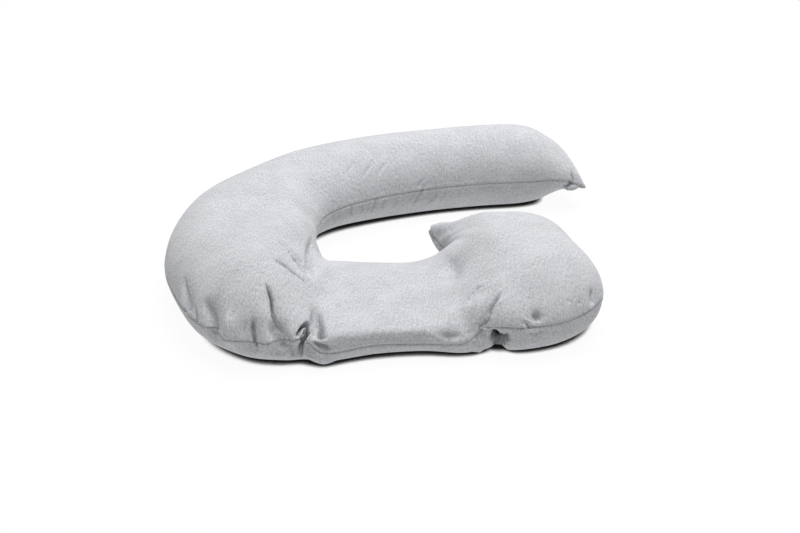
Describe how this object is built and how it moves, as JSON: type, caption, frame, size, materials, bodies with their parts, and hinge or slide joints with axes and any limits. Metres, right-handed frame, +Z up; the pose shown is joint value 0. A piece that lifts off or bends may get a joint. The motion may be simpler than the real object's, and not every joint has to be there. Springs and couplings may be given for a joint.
{
  "type": "body pillow",
  "caption": "G-shaped filled jersey body pillow with a long arm, a wide bend, a slack run and a square head end, lying flat on its lower panel.",
  "frame": {"origin": "on the floor, under the middle of the pillow's plan", "axes": "+X along the arm from the bend to its free end, +Y from the slack run towards the arm, +Z up from the floor"},
  "size_m": [1.229, 1.1342, 0.225],
  "materials": {
    "jersey": "matte grey melange knit with a soft nap"
  },
  "bodies": {
    "root": {"pillow": "jersey"}
  },
  "joints": []
}
